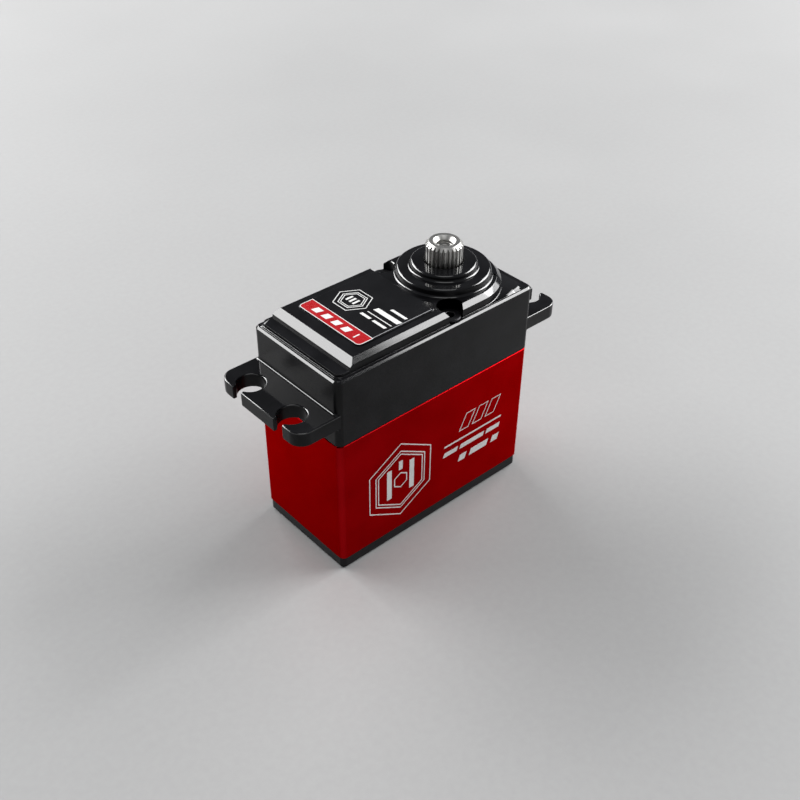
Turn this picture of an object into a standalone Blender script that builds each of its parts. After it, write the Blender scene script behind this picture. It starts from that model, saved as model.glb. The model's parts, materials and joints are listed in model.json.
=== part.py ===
"""Full-metal standard servo motor, modelled as the pieces it comes apart into.

Frame: +Z up along the output shaft, +X towards the output shaft's end of the case, origin under
the middle of the case on the face it stands on.  Every size below is in millimetres; MM turns it
into metres where a mesh is made or placed.
"""
import math

import bmesh
import bpy
from mathutils import Matrix

MM = 0.001
EPS = 0.05            # gap left between pieces that touch on the real object

# --- driving dimensions -------------------------------------------------------------------------
CASE_X = 40.6         # length of the case without its ears
CASE_Y = 20.2         # width of the case
CASE_CORNER = 1.05    # radius of the vertical corners
WALL = 1.15           # wall of all three case shells
COVER_TOP = 2.15      # bottom cover, from z = 0
MIDDLE_BOTTOM = 2.25
MIDDLE_TOP = 25.6
TOP_BOTTOM = 25.7     # lower edge of the top case
SHOULDER = 37.58      # flat around the top of the top case
LEDGE = 38.18         # low step at the motor end
PLATEAU = 39.63       # face that carries the label
DISC_TOP = 41.0       # large disc of the shaft boss
BOSS_TOP = 42.05      # small disc of the shaft boss
SHAFT_TOP = 45.4      # end of the splined shaft
RIM = 0.32            # chamfer around the shoulder
PLATEAU_RIM = 0.73    # chamfer around the plateau
END_RIM = 1.07        # wider chamfer across the motor end of the plateau
PLATEAU_Y = 9.3       # half width of the plateau, and the radius of its round end
PLATEAU_X = -17.19    # foot of the end chamfer
LEDGE_X = -19.4       # end of the ledge
LEDGE_CORNER = 1.1
DISC_RADIUS = 7.65
BOSS_RADIUS = 5.4
BOSS_EDGE = 0.35      # rounded edges of both discs

MOTOR_X = -9.2        # motor axis
IDLER_X = -0.2        # axis of the fixed gear pin
OUTPUT_X = 9.8        # output axis

EAR_SPAN = 54.8       # tip to tip of the mounting ears
EAR_Y = 20.0
EAR_BOTTOM = 29.2
EAR_TOP = 31.67
SLOT_X = 24.8         # centre of the ear slots
SLOT_Y = 5.1
SLOT_RADIUS = 2.25
SLOT_MOUTH = 2.0
EAR_CORNER = 2.3
EAR_EDGE = 0.15

POST_X = 15.9         # the solid corners of the shells start here
POST_Y = 5.8
CORNER_SCREW_X = 17.95
CORNER_SCREW_Y = 7.65
TOP_SCREW_X = 3.75
TOP_SCREW_Y = 7.9
SCREW_RADIUS = 1.0    # M2
SCREW_HOLE = 1.06
POCKET_RADIUS = 1.95
POCKET_FLOOR = 36.05

CAVITY_X = CASE_X / 2 - WALL
CAVITY_Y = CASE_Y / 2 - WALL
GEARBOX_ROOF = 36.65
DECK_BOTTOM = 23.2    # floor of the gearbox, part of the middle case
PIN_RADIUS = 1.0
BOARD_BOTTOM = 3.4    # circuit board
BOARD_TOP = 4.4
LABEL_X = (-14.0, 1.4)
LABEL_Y = 7.35
LABEL_CORNER = 0.9
GROMMET_Z = 4.0       # middle of the cable hole

# --- output shaft and bearings ------------------------------------------------------------------
SPLINE_TEETH = 25
SPLINE_TIP = 3.0
SPLINE_ROOT = 2.62
SPLINE_BOTTOM = BOSS_TOP + 0.2
JOURNAL = 2.95        # shaft in the upper bearing and the output gear
TAIL = 1.45           # shaft in the lower bearing
UPPER_BEARING_Z = 37.75
LOWER_BEARING_Z = 23.52

# --- motor --------------------------------------------------------------------------------------
MOTOR_SCREW_Y = 5.0
MOTOR_SHAFT = 1.0
CAN_RADIUS = 8.0
CAN_BOTTOM = 6.2
CAN_TOP = DECK_BOTTOM - EPS
CAN_WALL = 0.8
CORE_Z = (12.0, 20.0)
CORE_RADIUS = 5.5
POLES = 5

# --- gear train: teeth, module and face, from the motor to the output ---------------------------
PRESSURE = math.radians(20)
BACKLASH = 0.05
STAGE_1 = {"module": 0.3, "pinion": 12, "wheel": 48, "z": (26.2, 27.7)}
STAGE_2 = {"module": 0.4, "pinion": 10, "wheel": 40, "z": (28.1, 29.5)}
STAGE_3 = {"module": 0.4, "pinion": 14, "wheel": 36, "z": (29.9, 31.5)}
STAGE_4 = {"module": 0.5, "pinion": 10, "wheel": 30, "z": (32.1, 35.1)}

MATERIALS = {
    "black_anodised": ((0.012, 0.012, 0.014), 0.22, 0.6),
    "red_anodised": ((0.36, 0.008, 0.014), 0.35, 0.75),
    "label_film": ((0.02, 0.02, 0.022), 0.3, 0.0),
    "black_screw": ((0.02, 0.02, 0.022), 0.35, 0.8),
    "steel": ((0.62, 0.61, 0.6), 0.25, 1.0),
    "brass": ((0.7, 0.5, 0.2), 0.3, 1.0),
    "rubber": ((0.02, 0.02, 0.02), 0.75, 0.0),
    "motor_can": ((0.5, 0.5, 0.5), 0.3, 1.0),
    "magnet": ((0.06, 0.06, 0.065), 0.6, 0.2),
    "plastic": ((0.04, 0.04, 0.045), 0.5, 0.0),
    "copper": ((0.7, 0.28, 0.14), 0.35, 1.0),
    "carbon": ((0.05, 0.05, 0.05), 0.7, 0.0),
    "core_steel": ((0.3, 0.3, 0.32), 0.45, 1.0),
    "board": ((0.01, 0.12, 0.05), 0.5, 0.0),
}


# --- scene --------------------------------------------------------------------------------------
for old in list(bpy.data.objects):
    bpy.data.objects.remove(old, do_unlink=True)


def new_collection(name):
    made = bpy.data.collections.new(name)
    bpy.context.scene.collection.children.link(made)
    return made


PARTS = new_collection("servo_motor")
CUTTERS = new_collection("cutters")


def new_material(name, colour, roughness, metallic):
    material = bpy.data.materials.new(name)
    material.use_nodes = True
    shader = material.node_tree.nodes["Principled BSDF"]
    shader.inputs["Base Color"].default_value = (*colour, 1.0)
    shader.inputs["Roughness"].default_value = roughness
    shader.inputs["Metallic"].default_value = metallic
    return material


SLOTS = {name: new_material(name, *look) for name, look in MATERIALS.items()}


# --- shapes -------------------------------------------------------------------------------------
def put(name, mesh, place=(0, 0, 0)):
    """A new object among the cutters, which part() moves if it is a piece of the servo."""
    obj = bpy.data.objects.new(name, mesh)
    obj.location = [value * MM for value in place]
    CUTTERS.objects.link(obj)
    obj.hide_render = True
    obj.display_type = "WIRE"
    return obj


def part(obj, material):
    """Makes a shape one of the servo's pieces."""
    CUTTERS.objects.unlink(obj)
    PARTS.objects.link(obj)
    obj.hide_render = False
    obj.display_type = "TEXTURED"
    obj.data.materials.clear()
    obj.data.materials.append(SLOTS[material])
    obj.data.shade_smooth()
    obj.data.set_sharp_from_angle(angle=math.radians(35))
    return obj


def circle(radius, steps, turn=0.0):
    angles = [turn + 2 * math.pi * i / steps for i in range(steps)]
    return [(radius * math.cos(a), radius * math.sin(a)) for a in angles]


def arc(x, y, radius, start, end, steps):
    """Points of an arc from start to end, in degrees."""
    angles = [math.radians(start + (end - start) * i / steps) for i in range(steps + 1)]
    return [(x + radius * math.cos(a), y + radius * math.sin(a)) for a in angles]


def rounded_rectangle(x0, x1, y0, y1, radius, steps=3):
    corners = ((x1, y1, -1, -1, 0), (x0, y1, 1, -1, 90), (x0, y0, 1, 1, 180), (x1, y0, -1, 1, 270))
    points = []
    for x, y, in_x, in_y, start in corners:
        points += arc(x + in_x * radius, y + in_y * radius, radius, start, start + 90, steps)
    return points


def prism(name, loops, z0, z1, at=(0, 0)):
    """A flat outline, with any inner loops as holes, from z0 up to z1."""
    curve = bpy.data.curves.new(name, "CURVE")
    curve.dimensions = "2D"
    curve.fill_mode = "BOTH"
    curve.extrude = (z1 - z0) / 2 * MM
    for loop in loops:
        spline = curve.splines.new("POLY")
        spline.points.add(len(loop) - 1)
        for point, (x, y) in zip(spline.points, loop):
            point.co = (x * MM, y * MM, 0, 1)
        spline.use_cyclic_u = True
    drawn = put(name + "_outline", curve, (at[0], at[1], (z0 + z1) / 2))
    bpy.context.view_layer.update()
    evaluated = drawn.evaluated_get(bpy.context.evaluated_depsgraph_get())
    mesh = bpy.data.meshes.new_from_object(evaluated)
    work = bmesh.new()
    work.from_mesh(mesh)
    bmesh.ops.remove_doubles(work, verts=work.verts, dist=0.001 * MM)
    if len(loops) == 1:
        flat = math.radians(0.5)
        bmesh.ops.dissolve_limit(work, angle_limit=flat, verts=work.verts, edges=work.edges)
    bmesh.ops.recalc_face_normals(work, faces=work.faces)
    work.to_mesh(mesh)
    work.free()
    made = put(name, mesh, (0, 0, 0))
    made.matrix_world = drawn.matrix_world.copy()
    bpy.data.objects.remove(drawn, do_unlink=True)
    return made


def turned(name, profile, steps, at=(0, 0), closed=False):
    """A profile of (radius, z) points, drawn down its outer side, turned about a vertical axis."""
    count = len(profile)
    edges = [(i, i + 1) for i in range(count - 1)]
    if closed:
        edges.append((count - 1, 0))
    mesh = bpy.data.meshes.new(name)
    mesh.from_pydata([(r * MM, 0, z * MM) for r, z in profile], edges, [])
    made = put(name, mesh, (at[0], at[1], 0))
    screw = made.modifiers.new("Turn", "SCREW")
    screw.steps = steps
    screw.render_steps = steps
    screw.use_merge_vertices = True
    screw.merge_threshold = 0.001 * MM
    return made


def cylinder(name, radius, z0, z1, at=(0, 0), steps=24):
    mesh = bpy.data.meshes.new(name)
    work = bmesh.new()
    bmesh.ops.create_cone(
        work, cap_ends=True, segments=steps, radius1=radius * MM, radius2=radius * MM,
        depth=(z1 - z0) * MM)
    work.to_mesh(mesh)
    work.free()
    return put(name, mesh, (at[0], at[1], (z0 + z1) / 2))


def box(name, x0, x1, y0, y1, z0, z1):
    mesh = bpy.data.meshes.new(name)
    work = bmesh.new()
    bmesh.ops.create_cube(work, size=1.0)
    bmesh.ops.scale(work, verts=work.verts, vec=((x1 - x0) * MM, (y1 - y0) * MM, (z1 - z0) * MM))
    work.to_mesh(mesh)
    work.free()
    return put(name, mesh, ((x0 + x1) / 2, (y0 + y1) / 2, (z0 + z1) / 2))


def bevel_rim(obj, width, top=True, steps=1):
    """Bevels the outline edge of an upright prism at its top or its bottom."""
    work = bmesh.new()
    work.from_mesh(obj.data)
    heights = [v.co.z for v in work.verts]
    level = max(heights) if top else min(heights)
    rim = [e for e in work.edges
           if all(abs(v.co.z - level) < 0.001 * MM for v in e.verts)
           and e.calc_face_angle(0.0) > math.radians(60)]
    bmesh.ops.bevel(work, geom=rim, offset=width * MM, segments=steps, profile=0.5, affect="EDGES")
    work.to_mesh(obj.data)
    work.free()
    return obj


def combine(obj, operation, others):
    for other in others:
        boolean = obj.modifiers.new(other.name, "BOOLEAN")
        boolean.operation = operation
        boolean.object = other
    return obj


def cut(obj, *cutters):
    return combine(obj, "DIFFERENCE", cutters)


def join(obj, *pieces):
    return combine(obj, "UNION", pieces)


# --- case shells --------------------------------------------------------------------------------
def case_outline(inset=0.0, radius=CASE_CORNER):
    half_x = CASE_X / 2 - inset
    half_y = CASE_Y / 2 - inset
    return rounded_rectangle(-half_x, half_x, -half_y, half_y, radius)


def hollow(name, z0, z1):
    """The hollow of a shell: two crossing boxes that leave the four screw corners solid."""
    return (box(name + "_long", -CAVITY_X, CAVITY_X, -POST_Y, POST_Y, z0, z1),
            box(name + "_wide", -POST_X, POST_X, -CAVITY_Y, CAVITY_Y, z0, z1))


def corner_places():
    return [(x * CORNER_SCREW_X, y * CORNER_SCREW_Y) for x, y in ((-1, -1), (1, -1), (1, 1), (-1, 1))]


def top_screw_places():
    return {"left": (TOP_SCREW_X, TOP_SCREW_Y), "right": (TOP_SCREW_X, -TOP_SCREW_Y)}


def plateau_outline(x_end, corner):
    """Straight sides that run into a half round about the output shaft."""
    points = arc(OUTPUT_X, 0, PLATEAU_Y, -90, 90, 20)
    if corner:
        points += arc(x_end + corner, PLATEAU_Y - corner, corner, 90, 180, 3)
        points += arc(x_end + corner, corner - PLATEAU_Y, corner, 180, 270, 3)
    else:
        points += [(x_end, PLATEAU_Y), (x_end, -PLATEAU_Y)]
    return points


def end_wedge():
    """A tilted block whose underside is the plane of the wide end chamfer."""
    half = 1.5
    middle = (PLATEAU_X + END_RIM / 2, PLATEAU - END_RIM / 2)
    offset = half / math.sqrt(2)
    wedge = box("end_wedge", -half, half, -CASE_Y, CASE_Y, -half, half)
    wedge.location = ((middle[0] - offset) * MM, 0, (middle[1] + offset) * MM)
    wedge.rotation_euler = (0, math.radians(-45), 0)
    return wedge


def ear_outline():
    """Both ears in one plate: rounded corners and four slots open at the ends."""
    half_x = EAR_SPAN / 2
    half_y = EAR_Y / 2
    mouth = SLOT_MOUTH / 2
    lead = math.degrees(math.asin(mouth / SLOT_RADIUS))
    end = arc(half_x - EAR_CORNER, EAR_CORNER - half_y, EAR_CORNER, -90, 0, 5)
    for y in (-SLOT_Y, SLOT_Y):
        end.append((half_x, y - mouth))
        end += arc(SLOT_X, y, SLOT_RADIUS, -lead, lead - 360, 10)
        end.append((half_x, y + mouth))
    end += arc(half_x - EAR_CORNER, half_y - EAR_CORNER, EAR_CORNER, 0, 90, 5)
    return end + [(-x, -y) for x, y in end]


def boss_profile():
    """The stepped boss around the shaft: two discs with rounded edges and coved feet."""
    foot = DISC_RADIUS + 0.23
    profile = [(0, BOSS_TOP), (BOSS_RADIUS - BOSS_EDGE, BOSS_TOP)]
    profile += arc(BOSS_RADIUS - BOSS_EDGE, BOSS_TOP - BOSS_EDGE, BOSS_EDGE, 60, 0, 2)
    profile += [(BOSS_RADIUS, DISC_TOP + 0.3), (BOSS_RADIUS + 0.08, DISC_TOP + 0.08)]
    profile += [(BOSS_RADIUS + 0.3, DISC_TOP), (DISC_RADIUS - BOSS_EDGE, DISC_TOP)]
    profile += arc(DISC_RADIUS - BOSS_EDGE, DISC_TOP - BOSS_EDGE, BOSS_EDGE, 60, 0, 2)
    profile += [(DISC_RADIUS, PLATEAU + 0.25), (DISC_RADIUS + 0.07, PLATEAU + 0.06)]
    profile += [(foot, PLATEAU - 0.1), (foot, GEARBOX_ROOF + 0.4), (0, GEARBOX_ROOF + 0.4)]
    return profile


def make_top_case():
    body = prism("top_case", [case_outline()], TOP_BOTTOM, SHOULDER)
    bevel_rim(body, RIM)
    ledge = prism("ledge_block", [plateau_outline(LEDGE_X, LEDGE_CORNER)], SHOULDER - 1, LEDGE)
    bevel_rim(ledge, 0.15)
    plateau = prism("plateau_block", [plateau_outline(PLATEAU_X, 0)], SHOULDER - 1.5, PLATEAU)
    bevel_rim(plateau, PLATEAU_RIM)
    cut(plateau, end_wedge())
    ears = prism("ear_plate", [ear_outline()], EAR_BOTTOM, EAR_TOP)
    bevel_rim(ears, EAR_EDGE)
    bevel_rim(ears, EAR_EDGE, top=False)
    boss = turned("boss_block", boss_profile(), 40, (OUTPUT_X, 0))
    join(body, ledge, plateau, ears, boss)

    pads = [cylinder("screw_pad_" + side, 2.7, POCKET_FLOOR - 0.6, GEARBOX_ROOF + 0.4, (x, y * 0.925))
            for side, (x, y) in top_screw_places().items()]
    cut(body, *hollow("gearbox", TOP_BOTTOM - 1, GEARBOX_ROOF))
    join(body, *pads)
    for side, place in top_screw_places().items():
        cut(body,
            cylinder("pocket_" + side, POCKET_RADIUS, POCKET_FLOOR, PLATEAU + 1, place),
            cylinder("pocket_hole_" + side, SCREW_HOLE, POCKET_FLOOR - 2, PLATEAU, place, 16))
    cut(body, turned("bearing_seat", [
        (0, BOSS_TOP + 1), (3.2, BOSS_TOP + 1), (3.2, BOSS_TOP - 1.2), (5.03, BOSS_TOP - 1.2),
        (5.03, GEARBOX_ROOF - 1), (0, GEARBOX_ROOF - 1)], 37, (OUTPUT_X, 0)))
    for index, place in enumerate(corner_places(), 1):
        cut(body, cylinder("top_thread_%d" % index, SCREW_HOLE, TOP_BOTTOM - 1, 32.1, place, 12))
    cut(body, cylinder("top_pin_seat", PIN_RADIUS + 0.02, GEARBOX_ROOF - 1, 37.4, (IDLER_X, 0), 16))
    return part(body, "black_anodised")


def make_middle_case():
    body = prism("middle_case", [case_outline()], MIDDLE_BOTTOM, MIDDLE_TOP)
    bevel_rim(body, 0.22)
    bevel_rim(body, 0.22, top=False)
    cut(body, *hollow("motor_bay", MIDDLE_BOTTOM - 1, DECK_BOTTOM))
    for side, place in top_screw_places().items():
        join(body, cylinder("nut_boss_" + side, 2.0, 18.9, DECK_BOTTOM + 1, place, 16))
        cut(body, cylinder("nut_hole_" + side, SCREW_HOLE, 17.9, MIDDLE_TOP + 1, place, 16))
    for index, place in enumerate(corner_places(), 1):
        cut(body, cylinder("middle_hole_%d" % index, SCREW_HOLE, 1.0, MIDDLE_TOP + 1, place, 12))
    for side, y in (("left", MOTOR_SCREW_Y), ("right", -MOTOR_SCREW_Y)):
        cut(body, turned("motor_hole_" + side, [
            (0, MIDDLE_TOP + 1), (2.0, MIDDLE_TOP + 1), (2.0, MIDDLE_TOP - 0.1),
            (SCREW_HOLE, MIDDLE_TOP - 1.2), (SCREW_HOLE, DECK_BOTTOM - 1), (0, DECK_BOTTOM - 1)],
            16, (MOTOR_X, y)))
    cut(body,
        cylinder("motor_nose_hole", 3.1, DECK_BOTTOM - 1, MIDDLE_TOP + 1, (MOTOR_X, 0)),
        cylinder("deck_pin_seat", PIN_RADIUS + 0.02, DECK_BOTTOM + 0.5, MIDDLE_TOP + 1, (IDLER_X, 0), 16),
        turned("lower_bearing_seat", [
            (0, MIDDLE_TOP + 1), (3.53, MIDDLE_TOP + 1), (3.53, LOWER_BEARING_Z - EPS),
            (2.7, LOWER_BEARING_Z - EPS), (2.7, DECK_BOTTOM - 1), (0, DECK_BOTTOM - 1)],
            32, (OUTPUT_X, 0)),
        box("cable_notch", CASE_X / 2 - 3, CASE_X / 2 + 1, -2.6, 2.6, MIDDLE_BOTTOM - 1, 5.6))
    return part(body, "red_anodised")


def make_bottom_cover():
    body = prism("bottom_cover", [case_outline(0.22, 1.2)], 0, COVER_TOP)
    bevel_rim(body, 0.3, top=False)
    cut(body, *hollow("cover", 1.25, COVER_TOP + 1))
    for index, (x, y) in enumerate(((-13, -6), (13, -6), (13, 6), (-13, 6)), 1):
        join(body, cylinder("board_post_%d" % index, 0.9, 1.0, BOARD_BOTTOM - EPS, (x, y), 12))
    for index, place in enumerate(corner_places(), 1):
        cut(body,
            cylinder("cover_hole_%d" % index, SCREW_HOLE, -1, COVER_TOP + 1, place, 12),
            cylinder("head_recess_%d" % index, 1.8, -1, 1.35, place, 20))
    return part(body, "black_anodised")


# --- screws -------------------------------------------------------------------------------------
def socket_screw(name, place, seat, length, head_radius, head_height, up=True):
    """A cap screw with a hexagon socket; its head stands above the seat, or below it."""
    sign = 1 if up else -1
    top = seat + sign * head_height
    tip = seat - sign * length
    chamfer = 0.18
    profile = [(0, top), (head_radius - chamfer, top), (head_radius, top - sign * chamfer),
               (head_radius, seat), (SCREW_RADIUS, seat), (SCREW_RADIUS, tip + sign * 0.4),
               (SCREW_RADIUS - 0.4, tip), (0, tip)]
    if not up:
        profile.reverse()
    screw = turned(name, profile, 14, place)
    deep = top - sign * head_height * 0.55
    socket = cylinder(name + "_socket", 0.87, min(deep, top + sign), max(deep, top + sign), place, 6)
    cut(screw, socket)
    return part(screw, "black_screw")


def flat_screw(name, place, top, length):
    profile = [(0, top), (1.9, top), (1.9, top - 0.12), (SCREW_RADIUS, top - 1.02),
               (SCREW_RADIUS, top - length), (0, top - length)]
    screw = turned(name, profile, 14, place)
    cut(screw, cylinder(name + "_socket", 0.75, top - 0.7, top + 1, place, 6))
    return part(screw, "steel")


def make_screws():
    for side, place in top_screw_places().items():
        socket_screw("top_screw_" + side, place, POCKET_FLOOR + EPS, 16.0, 1.8, 1.95)
    for index, place in enumerate(corner_places(), 1):
        socket_screw("case_screw_%d" % index, place, 1.35 - EPS, 30.0, 1.7, 1.15, up=False)
    for side, y in (("left", MOTOR_SCREW_Y), ("right", -MOTOR_SCREW_Y)):
        flat_screw("motor_screw_" + side, (MOTOR_X, y), MIDDLE_TOP - 0.08, 3.6)


# --- gears --------------------------------------------------------------------------------------
def involute(angle):
    return math.tan(angle) - angle


def gear_outline(teeth, module, shift, first, flank_steps):
    """Involute teeth; first is the direction, in radians, that the first tooth points in."""
    pitch_radius = module * teeth / 2
    base = pitch_radius * math.cos(PRESSURE)
    tip = pitch_radius + module * (1.0 + shift)
    root = pitch_radius - module * (1.25 - shift)
    thickness = module * (math.pi / 2 + 2 * shift * math.tan(PRESSURE)) - BACKLASH / 2
    half = thickness / (2 * pitch_radius) + involute(PRESSURE)
    start = max(base, root)

    def half_angle(radius):
        return half - involute(math.acos(min(1.0, base / radius)))

    flank = [(root, half_angle(start))]
    for step in range(1, flank_steps + 1):
        radius = start + (tip - start) * step / flank_steps
        flank.append((radius, half_angle(radius)))
    points = []
    for tooth in range(teeth):
        middle = first + 2 * math.pi * tooth / teeth
        sides = [(r, middle - a) for r, a in flank] + [(r, middle + a) for r, a in reversed(flank)]
        points += [(r * math.cos(a), r * math.sin(a)) for r, a in sides]
    return points


def shift_for(teeth):
    """Profile shift that keeps a small pinion free of undercut."""
    return max(0.0, (17 - teeth) / 17)


def facing(teeth, direction):
    """First-tooth angle of a wheel with a tooth space centred on a direction."""
    return direction + math.pi / teeth


def gear(name, stage, member, x, direction, bore, material, z=None, hub=None, bore_steps=14):
    teeth = stage[member]
    shift = shift_for(stage["pinion"])
    if member == "wheel":
        outline = gear_outline(teeth, stage["module"], -shift, facing(teeth, direction), 1)
    else:
        outline = gear_outline(teeth, stage["module"], shift, direction, 2)
    z0, z1 = z or stage["z"]
    blank = prism(name, [outline, circle(bore, bore_steps)], z0, z1, (x, 0))
    if hub:
        radius, low, high = hub
        ring = [circle(radius, bore_steps), circle(bore, bore_steps)]
        join(blank, prism(name + "_hub", ring, low, high, (x, 0)))
    return part(blank, material)


def make_gears():
    towards_output = 0.0
    towards_motor = math.pi
    low = {n: s["z"][0] for n, s in enumerate((STAGE_1, STAGE_2, STAGE_3, STAGE_4), 1)}
    high = {n: s["z"][1] for n, s in enumerate((STAGE_1, STAGE_2, STAGE_3, STAGE_4), 1)}
    pin_bore = PIN_RADIUS + 0.03
    gear("motor_pinion", STAGE_1, "pinion", MOTOR_X, towards_output, 1.03, "brass",
         (low[1] - 0.1, high[1] + 0.1))
    gear("first_gear_wheel", STAGE_1, "wheel", IDLER_X, towards_motor, 1.43, "brass")
    gear("first_gear_pinion", STAGE_2, "pinion", IDLER_X, towards_output, pin_bore, "steel",
         (high[1] + EPS, high[2] + 0.1), (1.4, low[1] - 0.2, high[1] + 0.3))
    gear("second_gear_wheel", STAGE_2, "wheel", OUTPUT_X, towards_motor, 2.18, "brass")
    gear("second_gear_pinion", STAGE_3, "pinion", OUTPUT_X, towards_motor, 1.56, "steel",
         (high[2] + EPS, high[3] + 0.1), (2.15, low[2] - 0.2, high[2] + 0.3))
    gear("third_gear_wheel", STAGE_3, "wheel", IDLER_X, towards_output, 1.88, "steel")
    gear("third_gear_pinion", STAGE_4, "pinion", IDLER_X, towards_output, pin_bore, "steel",
         (high[3] + EPS, high[4] + 0.2), (1.85, low[3] - 0.1, high[3] + 0.3))
    gear("output_gear", STAGE_4, "wheel", OUTPUT_X, towards_motor, 3.03, "steel", bore_steps=28)
    pin = cylinder("gear_pin", PIN_RADIUS, DECK_BOTTOM + 0.55, 37.35, (IDLER_X, 0), 20)
    part(pin, "steel")


# --- shaft and bearings -------------------------------------------------------------------------
def spline_outline():
    points = []
    pitch = 2 * math.pi / SPLINE_TEETH
    for tooth in range(SPLINE_TEETH):
        middle = pitch * tooth
        flank = ((SPLINE_ROOT, -0.4), (SPLINE_TIP, -0.14), (SPLINE_TIP, 0.14), (SPLINE_ROOT, 0.4))
        for radius, share in flank:
            angle = middle + share * pitch
            points.append((radius * math.cos(angle), radius * math.sin(angle)))
    return points


def make_output_shaft():
    at = (OUTPUT_X, 0)
    seat = UPPER_BEARING_Z
    shaft = turned("output_shaft", [
        (0, SHAFT_TOP - 1), (2.4, SHAFT_TOP - 1), (2.4, SPLINE_BOTTOM + 0.4),
        (SPLINE_ROOT, SPLINE_BOTTOM + 0.2), (SPLINE_ROOT, SPLINE_BOTTOM - 0.2),
        (JOURNAL, SPLINE_BOTTOM - 0.5), (JOURNAL, seat - EPS), (JOURNAL + 0.95, seat - EPS),
        (JOURNAL + 0.95, seat - 0.7), (JOURNAL, seat - 0.7), (JOURNAL, 31.9), (TAIL, 31.9),
        (TAIL, 22.9), (0, 22.9)], 30, at)
    spline = prism("spline_block", [spline_outline()], SPLINE_BOTTOM, SHAFT_TOP, at)
    envelope = turned("spline_envelope", [
        (0, SHAFT_TOP), (2.5, SHAFT_TOP), (3.1, SHAFT_TOP - 0.55), (3.1, SPLINE_BOTTOM - 1),
        (0, SPLINE_BOTTOM - 1)], 36, at)
    combine(spline, "INTERSECT", [envelope])
    join(shaft, spline)
    cut(shaft,
        turned("screw_bore", [
            (0, SHAFT_TOP + 1), (1.79, SHAFT_TOP + 1), (1.79, SHAFT_TOP - 0.05), (1.3, SHAFT_TOP - 0.54),
            (1.3, SHAFT_TOP - 8.0), (0, SHAFT_TOP - 8.8)], 24, at),
        cylinder("sensor_bore", 1.06, 21.9, 25.5, at, 16))
    part(shaft, "steel")


def make_bearing(prefix, bore, outer, width, z0, ball, balls, shoulder):
    """A ball bearing: two grooved races, and the balls held together by their cage."""
    pitch = (bore + outer) / 2
    middle = z0 + width / 2
    groove = ball + 0.05
    rise = math.degrees(math.asin(min(1.0, shoulder / groove)))
    inner_groove = [(pitch + x, middle + y) for x, y in arc(0, 0, groove, 90 + rise, 270 - rise, 4)]
    outer_groove = [(pitch + x, middle + y) for x, y in arc(0, 0, groove, rise - 90, 90 - rise, 4)]
    inner_face = inner_groove[0][0]
    outer_face = outer_groove[0][0]
    inner = [(bore, z0 + width), (inner_face, z0 + width)] + inner_groove + [(inner_face, z0), (bore, z0)]
    outside = [(outer_face, z0 + width), (outer, z0 + width), (outer, z0), (outer_face, z0)] + outer_groove
    at = (OUTPUT_X, 0)
    part(turned(prefix + "_inner_race", inner, 24, at, closed=True), "steel")
    part(turned(prefix + "_outer_race", outside, 28, at, closed=True), "steel")
    half = (outer_face - inner_face) / 4
    cage = turned(prefix + "_ball_cage", [
        (pitch - half, middle + ball * 1.15), (pitch + half, middle + ball * 1.15),
        (pitch + half, middle - ball * 1.15), (pitch - half, middle - ball * 1.15)], 16, at, closed=True)
    mesh = bpy.data.meshes.new(prefix + "_balls")
    work = bmesh.new()
    for x, y in circle(pitch, balls, 0.1):
        made = bmesh.ops.create_uvsphere(work, u_segments=6, v_segments=4, radius=ball * MM)
        bmesh.ops.translate(work, verts=made["verts"], vec=(x * MM, y * MM, 0))
    work.to_mesh(mesh)
    work.free()
    join(cage, put(prefix + "_balls", mesh, (OUTPUT_X, 0, middle)))
    part(cage, "steel")


# --- motor pieces -------------------------------------------------------------------------------
def pole_outline():
    """A five-pole core: straight stems on a hub, each with a wide curved head."""
    points = []
    stem = 1.0
    for pole in range(POLES):
        turn = math.radians(90) + 2 * math.pi * pole / POLES
        half = [(math.sqrt(2.2 ** 2 - stem ** 2), stem), (4.6, stem), (4.35, 2.3)]
        side = half + [(math.sqrt(CORE_RADIUS ** 2 - 2.9 ** 2), 2.9)]
        face = arc(0, 0, CORE_RADIUS, -24, 24, 4)
        outline = [(x, -y) for x, y in side] + face + list(reversed(side))
        points += [(x * math.cos(turn) - y * math.sin(turn), x * math.sin(turn) + y * math.cos(turn))
                   for x, y in outline]
    return points


def coil_outline(slot):
    """What one slot between two stems holds of the winding."""
    turn = 90 + 360 * (slot + 0.5) / POLES
    inner = arc(0, 0, 2.45, turn + 9, turn - 9, 2)
    outer = arc(0, 0, 4.1, turn - 20, turn + 20, 4)
    return inner + outer


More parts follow.
